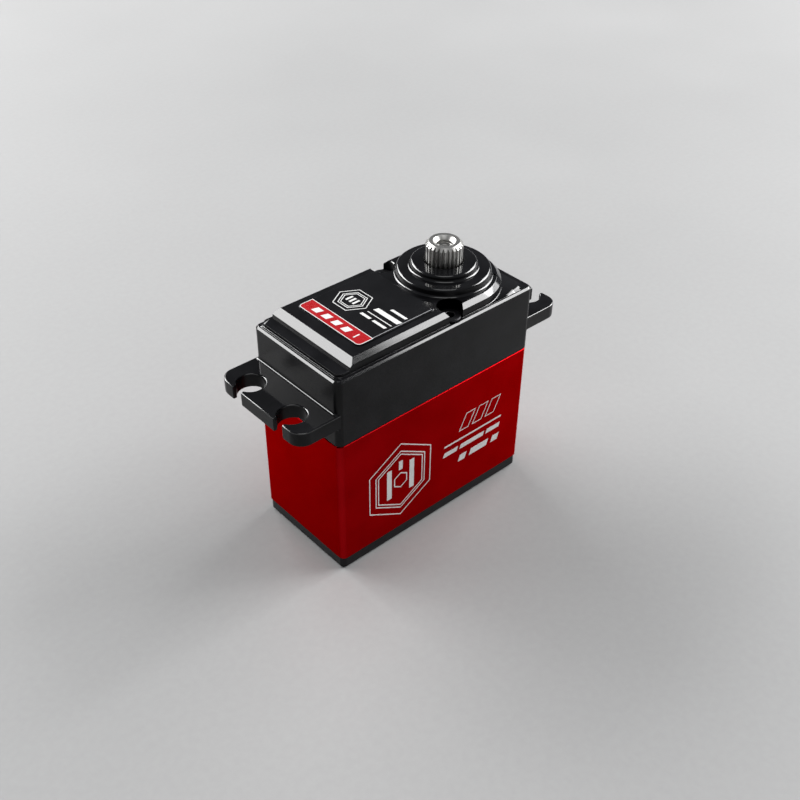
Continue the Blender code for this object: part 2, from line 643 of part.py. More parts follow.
def make_motor():
    at = (MOTOR_X, 0)
    can = turned("motor_can", [
        (2.05, CAN_TOP), (CAN_RADIUS - 0.5, CAN_TOP), (CAN_RADIUS, CAN_TOP - 0.5), (CAN_RADIUS, CAN_BOTTOM),
        (CAN_RADIUS - CAN_WALL, CAN_BOTTOM), (CAN_RADIUS - CAN_WALL, CAN_TOP - CAN_WALL),
        (2.05, CAN_TOP - CAN_WALL)], 32, at, closed=True)
    for side, y in (("left", MOTOR_SCREW_Y), ("right", -MOTOR_SCREW_Y)):
        cut(can, cylinder("can_hole_" + side, SCREW_HOLE, 21.4, 23.9, (MOTOR_X, y), 12))
    part(can, "motor_can")
    part(turned("motor_end_bell", [
        (1.56, 8.4), (7.1, 8.4), (7.1, 6.15), (8.0, 6.15), (8.0, 5.5), (1.56, 5.5)],
        24, at, closed=True), "plastic")
    part(turned("motor_front_bush", [
        (1.03, 25.1), (2.0, 25.1), (2.0, 21.6), (1.03, 21.6)], 20, at, closed=True), "brass")
    part(turned("motor_rear_bush", [
        (1.03, 8.2), (1.5, 8.2), (1.5, 5.7), (1.03, 5.7)], 20, at, closed=True), "brass")
    for side, middle in (("left", 90), ("right", 270)):
        ring = arc(0, 0, 7.15, middle - 62, middle + 62, 10) + arc(0, 0, 5.75, middle + 62, middle - 62, 8)
        part(prism("motor_magnet_" + side, [ring], 11.2, 21.4, at), "magnet")
    part(cylinder("motor_shaft", MOTOR_SHAFT, 5.9, 27.85, at, 20), "steel")
    part(prism("armature_core", [pole_outline(), circle(1.03, 20)], *CORE_Z, at), "core_steel")
    for slot in range(POLES):
        outline = [coil_outline(slot)]
        part(prism("motor_coil_%d" % (slot + 1), outline, CORE_Z[0] - 0.5, CORE_Z[1] + 0.4, at), "copper")
    part(turned("commutator", [
        (1.03, 11.0), (2.3, 11.0), (2.3, 9.0), (1.03, 9.0)], 20, at, closed=True), "copper")
    for side, sign in (("left", 1), ("right", -1)):
        x0, x1 = sorted((MOTOR_X + sign * 2.36, MOTOR_X + sign * 5.2))
        part(box("motor_brush_" + side, x0, x1, -0.8, 0.8, 9.3, 10.6), "carbon")
        x0, x1 = sorted((MOTOR_X + sign * 4.6, MOTOR_X + sign * 5.0))
        part(box("motor_terminal_" + side, x0, x1, -1.0, 1.0, BOARD_TOP + EPS, 5.5 - EPS), "brass")


# --- position sensor, circuit board, cable inlet, label -----------------------------------------
def make_sensor():
    at = (OUTPUT_X, 0)
    part(turned("potentiometer_body", [
        (0, 17.9), (1.06, 17.9), (1.06, 22.5), (2.5, 22.5), (2.5, 21.6), (5.4, 21.6), (5.4, 16.1),
        (0, 16.1)], 28, at), "plastic")
    part(cylinder("potentiometer_shaft", 1.0, 17.95, 25.4, at, 20), "steel")


def make_electronics():
    board = rounded_rectangle(-15.7, 15.7, -8.4, 8.4, 0.8, 2)
    part(prism("circuit_board", [board], BOARD_BOTTOM, BOARD_TOP), "board")
    low = BOARD_TOP + EPS
    part(box("control_chip", 4.0, 9.0, -2.5, 2.5, low, low + 0.9), "plastic")
    for side, y in (("left", 5.6), ("right", -5.6)):
        part(box("driver_chip_" + side, 10.5, 15.0, y - 1.95, y + 1.95, low, low + 1.4), "plastic")
    part(cylinder("filter_capacitor", 2.0, low, low + 5.2, (2.0, 5.4), 20), "motor_can")


def make_cable_grommet():
    wall = CASE_X / 2
    body = box("cable_grommet", wall - 2.0, wall + 0.8, -2.5, 2.5, 2.35, 5.5)
    outer = box("grommet_outer_flange", wall + 0.06, wall + 0.9, -3.0, 3.0, 2.3, 5.9)
    inner = box("grommet_inner_flange", wall - 2.1, wall - WALL - 0.1, -3.0, 3.0, 2.3, 5.9)
    join(body, outer, inner)
    hole = prism("wire_hole", [rounded_rectangle(-2.0, 2.0, -0.7, 0.7, 0.69, 4)], -3.0, 3.0)
    hole.matrix_world = wire_hole_pose(wall)
    cut(body, hole)
    part(body, "rubber")


def wire_hole_pose(wall):
    """The flat three-wire hole lies along X, at the middle of the grommet."""
    place = Matrix.Translation((wall * MM, 0, GROMMET_Z * MM))
    upright = Matrix.Rotation(math.radians(90), 4, "Y") @ Matrix.Rotation(math.radians(90), 4, "Z")
    return place @ upright


def make_label():
    film = rounded_rectangle(*LABEL_X, -LABEL_Y, LABEL_Y, LABEL_CORNER, 4)
    part(prism("top_label", [film], PLATEAU + EPS, PLATEAU + 0.2), "label_film")


make_top_case()
make_middle_case()
make_bottom_cover()
make_screws()
make_gears()
make_output_shaft()
make_bearing("upper_bearing", 3.0, 5.0, 3.0, UPPER_BEARING_Z, 0.6, 8, 0.25)
make_bearing("lower_bearing", 1.5, 3.5, 2.0, LOWER_BEARING_Z, 0.5, 6, 0.25)
make_motor()
make_sensor()
make_electronics()
make_cable_grommet()
make_label()
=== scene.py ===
"""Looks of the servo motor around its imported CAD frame.

The frame is in metres, +Z up, with the output shaft towards +X.  Sizes in this file are in
millimetres, and MM turns them into metres where a mesh, lamp or camera is made.
"""
import json
import math

import bmesh
import bpy
from mathutils import Matrix, Vector


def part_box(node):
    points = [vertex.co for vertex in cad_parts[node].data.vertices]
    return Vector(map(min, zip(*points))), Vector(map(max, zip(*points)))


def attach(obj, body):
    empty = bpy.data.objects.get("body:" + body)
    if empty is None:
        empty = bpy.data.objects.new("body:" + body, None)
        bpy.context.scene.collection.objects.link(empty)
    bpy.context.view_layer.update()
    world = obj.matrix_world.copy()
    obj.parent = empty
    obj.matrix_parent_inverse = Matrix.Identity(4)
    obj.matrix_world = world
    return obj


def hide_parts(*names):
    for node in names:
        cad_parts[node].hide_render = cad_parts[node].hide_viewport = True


MM = 0.001
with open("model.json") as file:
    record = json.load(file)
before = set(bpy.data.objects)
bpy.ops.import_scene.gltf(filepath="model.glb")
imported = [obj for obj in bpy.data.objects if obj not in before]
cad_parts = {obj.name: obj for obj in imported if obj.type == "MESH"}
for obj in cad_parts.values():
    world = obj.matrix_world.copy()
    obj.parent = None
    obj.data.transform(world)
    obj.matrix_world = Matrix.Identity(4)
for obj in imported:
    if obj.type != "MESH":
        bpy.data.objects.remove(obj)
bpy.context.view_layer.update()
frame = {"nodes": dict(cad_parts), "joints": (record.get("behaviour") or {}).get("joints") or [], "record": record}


# --- sizes read from the frame ------------------------------------------------------------------
def node_box(node):
    low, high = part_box(node)
    return [value / MM for value in low], [value / MM for value in high]


def joint_x(name):
    return next(j["pos_m"][0] for j in frame["joints"] if j["name"] == name) / MM


OUTPUT_X = joint_x("output_turn")
MOTOR_X = joint_x("motor_spin")
IDLER_X = joint_x("first_gear_spin")
TOP_LOW, TOP_HIGH = node_box("top_case")
MIDDLE_LOW, MIDDLE_HIGH = node_box("middle_case")
COVER_TOP = node_box("bottom_cover")[1][2]
SHAFT_TOP = node_box("output_shaft")[1][2]
LABEL_LOW, LABEL_HIGH = node_box("top_label")

CASE_X = MIDDLE_HIGH[0]      # half length and half width of the case
CASE_Y = MIDDLE_HIGH[1]
CASE_CORNER = 1.05
BOSS_TOP = TOP_HIGH[2]
DISC_TOP = 41.0
PLATEAU = 39.63
LEDGE = 38.18
SHOULDER = 37.58
EAR_TOP = 31.67
EAR_BOTTOM = 29.2
PLATEAU_Y = 9.3
POCKET = (3.75, 7.9)
CORNER_SCREW = (17.95, 7.65)
POCKET_FLOOR = 36.05
SCREW_HOLE = 1.06
ROOF = 36.65
DECK = 23.2


# --- outlines and profiles ----------------------------------------------------------------------
def arc(x, y, radius, start, end, steps):
    angles = [math.radians(start + (end - start) * i / steps) for i in range(steps + 1)]
    return [(x + radius * math.cos(a), y + radius * math.sin(a)) for a in angles]


def rounded(half_x, half_y, radius, steps=8):
    """A rounded rectangle about the origin."""
    points = []
    for sx, sy, start in ((1, 1, 0), (-1, 1, 90), (-1, -1, 180), (1, -1, 270)):
        points += arc(sx * (half_x - radius), sy * (half_y - radius), radius, start, start + 90, steps)
    return points


def case_outline(inset):
    return rounded(CASE_X - inset, CASE_Y - inset, max(CASE_CORNER - inset, 0.05))


def plateau_outline(inset, end, corner):
    """Straight sides that end in a half round about the output shaft and a square end at -X."""
    half = PLATEAU_Y - inset
    points = arc(OUTPUT_X, 0, half, -90, 90, 64)
    points += arc(end + corner, half - corner, corner, 90, 180, 8)
    points += arc(end + corner, corner - half, corner, 180, 270, 8)
    return points


def ear_outline(inset):
    """Both ears in one plate, with four round slots open at the ends."""
    half_x = TOP_HIGH[0] - inset
    half_y = 10.0 - inset
    corner = 2.3 - inset
    radius = 2.25 + inset
    mouth = 1.0 + inset
    lip = 0.16
    lead = math.degrees(math.asin(mouth / radius))
    end = arc(half_x - corner, corner - half_y, corner, -90, 0, 10)
    for y in (-5.1, 5.1):
        end += arc(half_x - lip, y - mouth - lip, lip, 0, 90, 3)
        end += arc(24.8, y, radius, -lead, lead - 360, 40)
        end += arc(half_x - lip, y + mouth + lip, lip, 270, 360, 3)
    end += arc(half_x - corner, half_y - corner, corner, 0, 90, 10)
    return end + [(-x, -y) for x, y in end]


def softened(profile, size):
    """The same profile with each inner corner turned into a short curve."""
    points = [Vector(p) for p in profile]
    result = [tuple(points[0])]
    for before, here, after in zip(points, points[1:], points[2:]):
        back, ahead = before - here, after - here
        start = here + back.normalized() * min(size, back.length * 0.45)
        end = here + ahead.normalized() * min(size, ahead.length * 0.45)
        for t in (0.0, 0.25, 0.5, 0.75, 1.0):
            point = start * (1 - t) ** 2 + here * 2 * t * (1 - t) + end * t ** 2
            result.append(tuple(point))
    result.append(tuple(points[-1]))
    return result


# --- meshes -------------------------------------------------------------------------------------
def new_object(name, verts, faces):
    mesh = bpy.data.meshes.new(name)
    mesh.from_pydata([(x * MM, y * MM, z * MM) for x, y, z in verts], [], faces)
    made = bpy.data.objects.new(name, mesh)
    bpy.context.scene.collection.objects.link(made)
    return made


def stack(name, rings, at=(0, 0)):
    """A closed form through outlines with equal numbers of points, from the bottom up."""
    count = len(rings[0][0])
    verts = [(x + at[0], y + at[1], z) for points, z in rings for x, y in points]
    last = len(verts) - count
    faces = [tuple(reversed(range(count))), tuple(range(last, last + count))]
    for level in range(len(rings) - 1):
        for i in range(count):
            a = level * count + i
            b = level * count + (i + 1) % count
            faces.append((a, b, b + count, a + count))
    return new_object(name, verts, faces)


def lathe(name, levels, at=(0, 0), steps=64, ring=False):
    """Turned about a vertical axis.  A level is (radius, z) or, where the section isn't round,
    a function from an angle to (radius, z); levels run down the outer side."""
    verts, rows = [], []
    for level in levels:
        if not callable(level) and level[0] < 1e-6:
            rows.append([len(verts)] * steps)
            verts.append((at[0], at[1], level[1]))
            continue
        rows.append(list(range(len(verts), len(verts) + steps)))
        for k in range(steps):
            angle = 2 * math.pi * k / steps
            radius, z = level(angle) if callable(level) else level
            verts.append((at[0] + radius * math.cos(angle), at[1] + radius * math.sin(angle), z))
    faces = []
    for upper, lower in zip(rows, rows[1:] + rows[:1] if ring else rows[1:]):
        for k in range(steps):
            n = (k + 1) % steps
            corners = tuple(dict.fromkeys((lower[k], lower[n], upper[n], upper[k])))
            if len(corners) > 2:
                faces.append(corners)
    return new_object(name, verts, faces)


def box(name, x0, x1, y0, y1, z0, z1):
    mesh = bpy.data.meshes.new(name)
    work = bmesh.new()
    bmesh.ops.create_cube(work, size=1.0)
    bmesh.ops.scale(work, verts=work.verts, vec=((x1 - x0) * MM, (y1 - y0) * MM, (z1 - z0) * MM))
    middle = ((x0 + x1) / 2 * MM, (y0 + y1) / 2 * MM, (z0 + z1) / 2 * MM)
    bmesh.ops.translate(work, verts=work.verts, vec=middle)
    work.to_mesh(mesh)
    work.free()
    made = bpy.data.objects.new(name, mesh)
    bpy.context.scene.collection.objects.link(made)
    return made


def rod(name, radius, z0, z1, at, steps=48):
    return lathe(name, [(0, z1), (radius, z1), (radius, z0), (0, z0)], at, steps)


def combine(obj, steps):
    """Joins, cuts or trims obj with other solids, in order, and removes them."""
    for index, (operation, other) in enumerate(steps):
        boolean = obj.modifiers.new("step_%d" % index, "BOOLEAN")
        boolean.operation = operation
        boolean.object = other
    bpy.context.view_layer.update()
    evaluated = obj.evaluated_get(bpy.context.evaluated_depsgraph_get())
    mesh = bpy.data.meshes.new_from_object(evaluated)
    obj.modifiers.clear()
    obj.data = mesh
    for _, other in steps:
        bpy.data.objects.remove(other, do_unlink=True)
    return obj


def piece(obj, material, body, slot, *nodes, angle=32):
    """Makes obj a visible piece that rides on a body and stands for its CAD nodes.  Three finishes
    go on its upright faces, its sloping edges and its flat tops."""
    obj.data.materials.clear()
    finishes = material if isinstance(material, tuple) else (material,)
    for finish in finishes:
        obj.data.materials.append(finish)
    for face in obj.data.polygons:
        rise = face.normal.z
        face.material_index = 0 if len(finishes) == 1 or rise < 0.25 else 1 if rise < 0.95 else 2
    obj.data.shade_smooth()
    obj.data.set_sharp_from_angle(angle=math.radians(angle))
    normals = obj.modifiers.new("Normals", "WEIGHTED_NORMAL")
    normals.weight = 80
    normals.keep_sharp = True
    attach(obj, body)
    if nodes:
        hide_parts(*nodes)
    return obj


# --- materials ----------------------------------------------------------------------------------
def add(tree, kind, inputs=None, **properties):
    made = tree.nodes.new(kind)
    for key, value in properties.items():
        setattr(made, key, value)
    for key, value in (inputs or {}).items():
        if isinstance(value, bpy.types.NodeSocket):
            tree.links.new(value, made.inputs[key])
        else:
            made.inputs[key].default_value = value
    return made


def noise(tree, scale, stretch=(1, 1, 1), detail=3.0, rough=0.55):
    """Noise in the row frame, with its scale counted per millimetre."""
    place = add(tree, "ShaderNodeTexCoord").outputs["Object"]
    scaled = add(tree, "ShaderNodeVectorMath", {0: place, 1: [s / MM for s in stretch]},
                 operation="MULTIPLY").outputs[0]
    made = add(tree, "ShaderNodeTexNoise",
               {"Vector": scaled, "Scale": scale, "Detail": detail, "Roughness": rough})
    return made.outputs["Fac"]


def between(tree, value, low, high, to_low, to_high, smooth=False):
    made = add(tree, "ShaderNodeMapRange",
               {"Value": value, "From Min": low, "From Max": high, "To Min": to_low, "To Max": to_high},
               interpolation_type="SMOOTHSTEP" if smooth else "LINEAR")
    return made.outputs["Result"]


def calculate(tree, operation, first, second):
    return add(tree, "ShaderNodeMath", {0: first, 1: second}, operation=operation).outputs[0]


def blend_colours(tree, factor, first, second):
    made = add(tree, "ShaderNodeMix", {0: factor, 6: first, 7: second}, data_type="RGBA")
    return made.outputs[2]


def edge_mask(tree, radius):
    """One along sharp edges and nought on faces."""
    soft = add(tree, "ShaderNodeBevel", {"Radius": radius * MM}, samples=6).outputs["Normal"]
    flat = add(tree, "ShaderNodeNewGeometry").outputs["Normal"]
    dot = add(tree, "ShaderNodeVectorMath", {0: soft, 1: flat}, operation="DOT_PRODUCT")
    return between(tree, dot.outputs["Value"], 0.995, 0.86, 0.0, 1.0, smooth=True)


def new_material(name, metallic, ior=1.5, coat=0.0):
    material = bpy.data.materials.new(name)
    material.use_nodes = True
    shader = material.node_tree.nodes["Principled BSDF"]
    shader.inputs["Metallic"].default_value = metallic
    shader.inputs["IOR"].default_value = ior
    shader.inputs["Coat Weight"].default_value = coat
    shader.inputs["Coat Roughness"].default_value = 0.1
    return material, material.node_tree, shader


def set_bump(tree, shader, height, distance, strength=1.0):
    bump = add(tree, "ShaderNodeBump", {"Height": height, "Distance": distance * MM, "Strength": strength})
    tree.links.new(bump.outputs["Normal"], shader.inputs["Normal"])


def colour4(colour):
    return (*colour, 1.0)


def plain_finish(name, dark, light, metallic, roughness, grain=6.0, stretch=(1, 1, 1), bump=0.002,
                 patch=0.25, ior=1.5, coat=0.0, worn=None):
    """A finish with a fine grain, patches of tone and gloss, and optional wear along edges."""
    material, tree, shader = new_material(name, metallic, ior, coat)
    tone = noise(tree, patch)
    fine = noise(tree, grain, stretch, detail=4.0)
    mixed = calculate(tree, "ADD", between(tree, tone, 0.3, 0.7, 0.0, 0.6),
                      between(tree, fine, 0.3, 0.7, 0.0, 0.4))
    colour = blend_colours(tree, mixed, colour4(dark), colour4(light))
    gloss = between(tree, mixed, 0.0, 1.0, roughness[0], roughness[1])
    if worn:
        mask = calculate(tree, "MULTIPLY", edge_mask(tree, worn[1]),
                         between(tree, noise(tree, 1.6), 0.35, 0.65, 0.25, 1.0))
        colour = blend_colours(tree, mask, colour, colour4(worn[0]))
    tree.links.new(colour, shader.inputs["Base Color"])
    tree.links.new(gloss, shader.inputs["Roughness"])
    set_bump(tree, shader, fine, bump)
    return material


def black_anodised(name, specular, gloss, blasted):
    """Hard black anodising, from a fine blast on upright faces to a milled polish on top."""
    material, tree, shader = new_material(name, 0.0, ior=1.75)
    shader.inputs["Specular IOR Level"].default_value = specular
    patch = noise(tree, 0.22)
    blast = noise(tree, 9.0, detail=4.0)
    milled = noise(tree, 1.0, (0.15, 14.0, 14.0), detail=2.0)
    grain = blast if blasted else calculate(tree, "MULTIPLY", calculate(tree, "ADD", patch, milled), 0.5)
    worn = calculate(tree, "MULTIPLY", edge_mask(tree, 0.1),
                     between(tree, noise(tree, 1.3), 0.42, 0.7, 0.0, 0.6))
    base = blend_colours(tree, between(tree, patch, 0.35, 0.65, 0.0, 1.0),
                         (0.0035, 0.0035, 0.004, 1), (0.008, 0.008, 0.009, 1))
    tree.links.new(blend_colours(tree, worn, base, (0.16, 0.16, 0.165, 1)), shader.inputs["Base Color"])
    tree.links.new(between(tree, grain, 0.3, 0.7, gloss[0], gloss[1]), shader.inputs["Roughness"])
    set_bump(tree, shader, grain, 0.0022 if blasted else 0.0003)
    return material


def red_anodised():
    """Dyed anodising over metal: a deep satin red."""
    material, tree, shader = new_material("red_anodised_finish", 1.0)
    shader.inputs["Specular Tint"].default_value = (1.0, 0.35, 0.36, 1.0)
    patch = noise(tree, 0.12)
    blast = noise(tree, 11.0, detail=4.0)
    tone = calculate(tree, "ADD", between(tree, patch, 0.35, 0.65, 0.0, 0.7),
                     between(tree, blast, 0.3, 0.7, 0.0, 0.3))
    base = blend_colours(tree, tone, (0.33, 0.0025, 0.0045, 1), (0.42, 0.004, 0.007, 1))
    worn = calculate(tree, "MULTIPLY", edge_mask(tree, 0.08),
                     between(tree, noise(tree, 1.1), 0.45, 0.75, 0.0, 0.5))
    colour = blend_colours(tree, worn, base, (0.75, 0.35, 0.34, 1))
    tree.links.new(colour, shader.inputs["Base Color"])
    tree.links.new(between(tree, tone, 0.0, 1.0, 0.27, 0.36), shader.inputs["Roughness"])
    set_bump(tree, shader, blast, 0.0016)
    return material


def machined_steel():
    """Turned steel: fine rings around the shaft, with a little darkening between them."""
    material, tree, shader = new_material("machined_steel_finish", 1.0)
    rings = noise(tree, 1.0, (0.3, 0.3, 16.0), detail=3.0)
    patch = noise(tree, 0.7)
    tone = calculate(tree, "ADD", between(tree, rings, 0.3, 0.7, 0.0, 0.5),
                     between(tree, patch, 0.3, 0.7, 0.0, 0.5))
    colour = blend_colours(tree, tone, (0.42, 0.415, 0.40, 1), (0.60, 0.595, 0.575, 1))
    tree.links.new(colour, shader.inputs["Base Color"])
    tree.links.new(between(tree, tone, 0.0, 1.0, 0.42, 0.3), shader.inputs["Roughness"])
    set_bump(tree, shader, rings, 0.003)
    return material


# upright faces, chamfers and rounded edges, and flat tops of the black shells
BLACK = (black_anodised("black_side_finish", 0.09, (0.26, 0.38), True),
         black_anodised("black_edge_finish", 0.5, (0.07, 0.15), False),
         black_anodised("black_top_finish", 0.3, (0.045, 0.11), False))
RED = red_anodised()
STEEL = machined_steel()
WHITE_PRINT = plain_finish("white_print_finish", (0.62, 0.62, 0.61), (0.78, 0.78, 0.77), 0.0,
                           (0.35, 0.5), grain=8.0, bump=0.001)
# The grey finish below is a painted reflection, not print: it stands for the lamp seen in the label film's rounded
# -Y edge.
FILM_EDGE_REFLECTION_PAINT = plain_finish("painted_edge_reflection_finish", (0.26, 0.26, 0.27), (0.34, 0.34, 0.35), 0.0,
                          (0.3, 0.4), grain=8.0, bump=0.001)
RED_PRINT = plain_finish("red_print_finish", (0.33, 0.006, 0.009), (0.42, 0.01, 0.014), 0.0,
                         (0.22, 0.32), grain=7.0, bump=0.001)
FILM = plain_finish("label_film_finish", (0.004, 0.004, 0.0045), (0.009, 0.009, 0.01), 0.0,
                    (0.1, 0.2), grain=5.0, bump=0.0006)
OXIDE = plain_finish("black_oxide_finish", (0.015, 0.015, 0.017), (0.04, 0.04, 0.043), 0.75,
                     (0.25, 0.42), grain=9.0, bump=0.003, worn=((0.3, 0.3, 0.31), 0.06))
BRASS = plain_finish("brass_finish", (0.62, 0.42, 0.16), (0.80, 0.60, 0.27), 1.0,
                     (0.18, 0.34), grain=1.0, stretch=(0.4, 0.4, 12.0), bump=0.002)
RUBBER = plain_finish("rubber_finish", (0.012, 0.012, 0.012), (0.03, 0.03, 0.031), 0.0,
                      (0.62, 0.82), grain=14.0, bump=0.008)
CAN = plain_finish("plated_can_finish", (0.42, 0.42, 0.42), (0.60, 0.60, 0.585), 1.0,
                   (0.2, 0.36), grain=1.0, stretch=(0.3, 0.3, 10.0), bump=0.002)
FERRITE = plain_finish("ferrite_finish", (0.035, 0.035, 0.038), (0.09, 0.09, 0.095), 0.1,
                       (0.5, 0.75), grain=12.0, bump=0.01)
PLASTIC = plain_finish("moulded_plastic_finish", (0.02, 0.02, 0.022), (0.05, 0.05, 0.054), 0.0,
                       (0.4, 0.6), grain=16.0, bump=0.006)
COPPER = plain_finish("copper_finish", (0.52, 0.17, 0.06), (0.78, 0.33, 0.16), 1.0,
                      (0.2, 0.4), grain=1.0, stretch=(6.0, 6.0, 0.6), bump=0.02)
CARBON = plain_finish("carbon_finish", (0.02, 0.02, 0.02), (0.06, 0.06, 0.062), 0.1,
                      (0.5, 0.7), grain=15.0, bump=0.008)
CORE = plain_finish("laminated_core_finish", (0.16, 0.16, 0.17), (0.36, 0.36, 0.38), 1.0,
                    (0.3, 0.5), grain=1.0, stretch=(0.2, 0.2, 9.0), bump=0.02)
BOARD = plain_finish("circuit_board_finish", (0.004, 0.07, 0.03), (0.012, 0.13, 0.055), 0.0,
                     (0.25, 0.45), grain=5.0, stretch=(3.0, 0.5, 1.0), bump=0.004, coat=0.4)
SLOT_FINISH = {
    "black_anodised": BLACK[0], "red_anodised": RED, "label_film": FILM, "black_screw": OXIDE,
    "steel": STEEL, "brass": BRASS, "rubber": RUBBER, "motor_can": CAN, "magnet": FERRITE,
    "plastic": PLASTIC, "copper": COPPER, "carbon": CARBON, "core_steel": CORE, "board": BOARD,
}


# --- case shells --------------------------------------------------------------------------------
def hollow(name, z0, z1):
    """The inside of a shell, which leaves its four screw corners solid."""
    wall_x, wall_y = CASE_X - 1.15, CASE_Y - 1.15
    return [("DIFFERENCE", box(name + "_long", -wall_x, wall_x, -5.8, 5.8, z0, z1)),
            ("DIFFERENCE", box(name + "_wide", -15.9, 15.9, -wall_y, wall_y, z0, z1))]


def corners(x=CORNER_SCREW[0], y=CORNER_SCREW[1]):
    return [(-x, -y), (x, -y), (x, y), (-x, y)]


def ear_cove(name, z, sign):
    """The small hollow fillet between an ear and the case end, above or below the ear."""
    curve = [(-0.42, 0.0), (-0.26, 0.03), (-0.13, 0.11), (-0.04, 0.25), (0.0, 0.42)]
    rings = [(case_outline(-0.42), z - sign * 0.3)]
    rings += [(case_outline(inset), z + sign * rise) for inset, rise in curve]
    if sign < 0:
        rings.reverse()
    cove = stack(name, rings)
    keep = box(name + "_keep", -30, 30, -9.75, 9.75, z - 2, z + 2)
    return combine(cove, [("INTERSECT", keep)])


def make_top_shell():
    profile = softened([(0.14, TOP_LOW[2]), (0.0, TOP_LOW[2] + 0.14), (0.0, SHOULDER - 0.32),
                        (0.32, SHOULDER), (0.9, SHOULDER)], 0.05)
    body = stack("top_shell", [(case_outline(inset), z) for inset, z in profile])

    low_end, high_end = -19.4, -17.19
    foot = [(-0.09, -19.49, 1.19, SHOULDER - 0.3), (-0.09, -19.49, 1.19, SHOULDER + 0.005),
            (-0.04, -19.44, 1.14, SHOULDER + 0.025), (-0.01, -19.41, 1.11, SHOULDER + 0.06),
            (0.0, low_end, 1.1, SHOULDER + 0.1)]
    step = [(0.0, low_end, 1.1, LEDGE - 0.06), (0.0, low_end + 0.02, 1.08, LEDGE - 0.02),
            (0.0, low_end + 0.06, 1.05, LEDGE)]
    slope = softened([(0.0, high_end, LEDGE), (0.0, high_end, PLATEAU - 1.07),
                      (0.0, high_end + 0.34, PLATEAU - 0.73), (0.73, high_end + 1.07, PLATEAU),
                      (1.3, high_end + 1.8, PLATEAU)], 0.05)
    rings = [(plateau_outline(inset, end, corner), z) for inset, end, corner, z in foot + step]
    rings += [(plateau_outline(inset, end, 0.03), z) for inset, end, z in slope]
    plateau = stack("plateau_block", rings)

    edge = [(0.2, 0.0), (0.1, 0.02), (0.03, 0.08), (0.0, 0.19)]
    ears = stack("ear_block", [(ear_outline(inset), EAR_BOTTOM + rise) for inset, rise in edge]
                 + [(ear_outline(inset), EAR_TOP - rise) for inset, rise in reversed(edge)])

    boss = [(0, BOSS_TOP)]
    for radius, top, low in ((5.4, BOSS_TOP, DISC_TOP), (7.65, DISC_TOP, PLATEAU)):
        boss += arc(radius - 0.46, top - 0.46, 0.46, 90, 0, 10)
        boss += arc(radius + 0.42, low + 0.42, 0.42, 180, 270, 10)
    boss += [(8.07, PLATEAU - 0.2), (8.07, ROOF + 0.4), (0, ROOF + 0.4)]
    steps = [("UNION", plateau), ("UNION", ears),
             ("UNION", ear_cove("cove_above", EAR_TOP, 1)),
             ("UNION", ear_cove("cove_below", EAR_BOTTOM, -1)),
             ("UNION", lathe("boss_block", boss, (OUTPUT_X, 0), 144))]

    steps += hollow("gearbox", TOP_LOW[2] - 1, ROOF)
    for sign in (1, -1):
        place = (POCKET[0], sign * POCKET[1])
        pad = (place[0], place[1] * 0.925)
        steps.append(("UNION", rod("pad", 2.7, POCKET_FLOOR - 0.6, ROOF + 0.4, pad)))
        rim = [(0, PLATEAU + 1), (2.12, PLATEAU + 1), (2.12, PLATEAU), (2.0, PLATEAU - 0.12),
               (2.0, SHOULDER), (1.92, SHOULDER - 0.08), (1.92, POCKET_FLOOR),
               (SCREW_HOLE, POCKET_FLOOR), (SCREW_HOLE, POCKET_FLOOR - 2), (0, POCKET_FLOOR - 2)]
        steps.append(("DIFFERENCE", lathe("pocket", rim, place, 60)))
    steps.append(("DIFFERENCE", lathe("bearing_seat", [
        (0, BOSS_TOP + 1), (3.28, BOSS_TOP + 1), (3.28, BOSS_TOP), (3.2, BOSS_TOP - 0.08),
        (3.2, BOSS_TOP - 1.2), (5.03, BOSS_TOP - 1.2), (5.03, ROOF - 1), (0, ROOF - 1)],
        (OUTPUT_X, 0), 100)))
    for place in corners():
        steps.append(("DIFFERENCE", rod("thread", SCREW_HOLE, TOP_LOW[2] - 1, 32.1, place, 24)))
    steps.append(("DIFFERENCE", rod("pin_seat", 1.02, ROOF - 1, 37.4, (IDLER_X, 0), 32)))
    piece(combine(body, steps), BLACK, "case", "black_anodised", "top_case")


def make_middle_shell():
    low, high = MIDDLE_LOW[2], MIDDLE_HIGH[2]
    profile = softened([(0.8, low), (0.13, low), (0.03, low + 0.1), (0.03, high - 0.1),
                        (0.13, high), (0.8, high)], 0.03)
    body = stack("middle_shell", [(case_outline(inset), z) for inset, z in profile])
    steps = hollow("motor_bay", low - 1, DECK)
    for sign in (1, -1):
        place = (POCKET[0], sign * POCKET[1])
        steps.append(("UNION", rod("nut_boss", 2.0, DECK - 4.3, DECK + 1, place, 32)))
        steps.append(("DIFFERENCE", rod("nut_hole", SCREW_HOLE, DECK - 5.3, high + 1, place, 24)))
        steps.append(("DIFFERENCE", lathe("motor_hole", [
            (0, high + 1), (2.0, high + 1), (2.0, high - 0.1), (SCREW_HOLE, high - 1.2),
            (SCREW_HOLE, DECK - 1), (0, DECK - 1)], (MOTOR_X, sign * 5.0), 24)))
    for place in corners():
        steps.append(("DIFFERENCE", rod("corner_hole", SCREW_HOLE, 1.0, high + 1, place, 24)))
    steps.append(("DIFFERENCE", rod("nose_hole", 3.1, DECK - 1, high + 1, (MOTOR_X, 0))))
    steps.append(("DIFFERENCE", rod("deck_pin", 1.02, DECK + 0.5, high + 1, (IDLER_X, 0), 32)))
    steps.append(("DIFFERENCE", lathe("lower_seat", [
        (0, high + 1), (3.53, high + 1), (3.53, DECK + 0.27), (2.7, DECK + 0.27),
        (2.7, DECK - 1), (0, DECK - 1)],
        (OUTPUT_X, 0), 60)))
    steps.append(("DIFFERENCE", box("cable_notch", CASE_X - 3, CASE_X + 1, -2.6, 2.6, low - 1, 5.6)))
    piece(combine(body, steps), RED, "case", "red_anodised", "middle_case")


